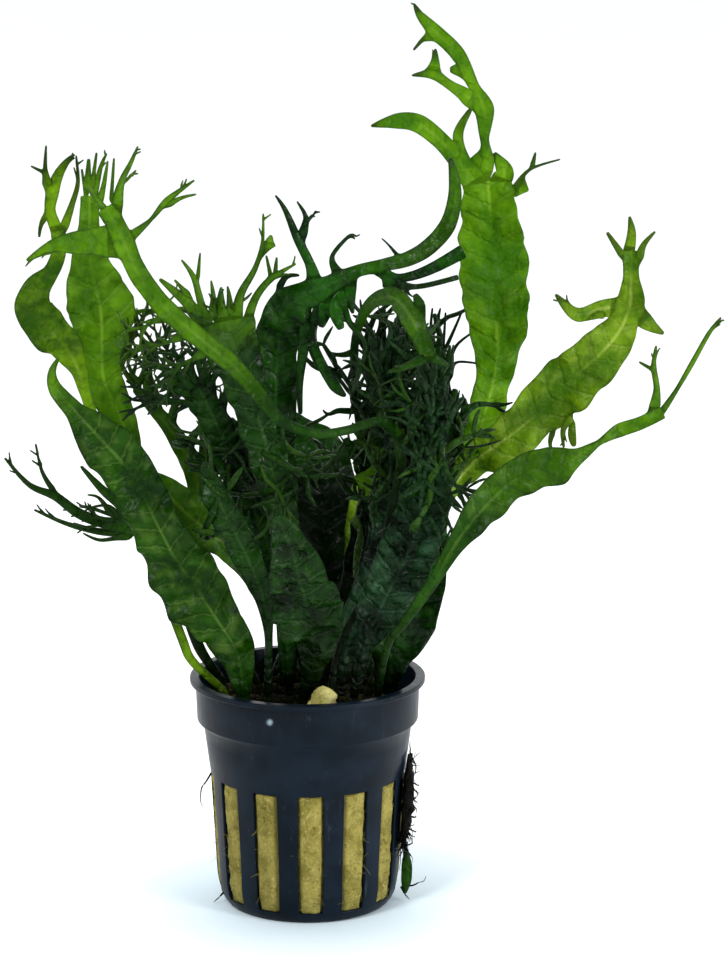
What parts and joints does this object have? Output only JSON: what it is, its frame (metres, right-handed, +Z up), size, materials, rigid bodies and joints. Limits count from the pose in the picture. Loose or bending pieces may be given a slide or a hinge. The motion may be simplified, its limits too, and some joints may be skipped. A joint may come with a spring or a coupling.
{
  "type": "potted java fern",
  "caption": "Bushy crested java fern growing from a small slotted plastic nursery pot filled with rockwool, free-standing on its flat base.",
  "frame": {"origin": "centre of the pot's flat underside, which rests on the ground", "axes": "+Z up along the pot's axis; -Y towards the viewer of the front; +X to that viewer's right"},
  "size_m": [0.1619, 0.1088, 0.2079],
  "materials": {
    "pot_plastic": "semi-gloss moulded, dark slate",
    "rockwool": "mottled ochre mineral fibre",
    "roots": "matt, dark brown to black fibres",
    "rhizome": "matt, dark olive",
    "frond_bright": "translucent bright green, soft sheen",
    "frond_olive": "translucent yellow-green, soft sheen",
    "frond_dark": "wet-looking dark green, bumpy between the veins"
  },
  "bodies": {
    "root": {"pot": "pot_plastic", "rockwool": "rockwool", "rockwool_crumb": "rockwool", "root_mat": "roots", "root_tuft": "roots", "rhizome_front": "rhizome", "rhizome_middle_front": "rhizome", "rhizome_middle_back": "rhizome", "rhizome_back": "rhizome", "frond_tall": "frond_bright", "frond_right": "frond_bright", "frond_right_low": "frond_bright", "frond_right_dark": "frond_dark", "frond_front_right": "frond_dark", "frond_front_centre": "frond_dark", "frond_front_left": "frond_bright", "frond_left_inner": "frond_olive", "frond_left_dark": "frond_dark", "frond_low_left": "frond_dark", "frond_hook": "frond_bright", "frond_top_left": "frond_bright", "frond_ribbon": "frond_bright", "frond_mid_left": "frond_dark", "frond_arch": "frond_dark", "frond_drooping": "frond_bright", "frond_crested_right": "frond_dark", "frond_crested_back": "frond_dark", "frond_crested_middle": "frond_dark", "frond_crested_left": "frond_olive", "frond_crested_centre": "frond_dark", "frond_back_light": "frond_olive", "frond_back_centre": "frond_dark", "frond_back_left": "frond_dark", "frond_back_right": "frond_dark", "frond_back_low": "frond_bright", "stray_leaf": "frond_bright"}
  },
  "joints": []
}
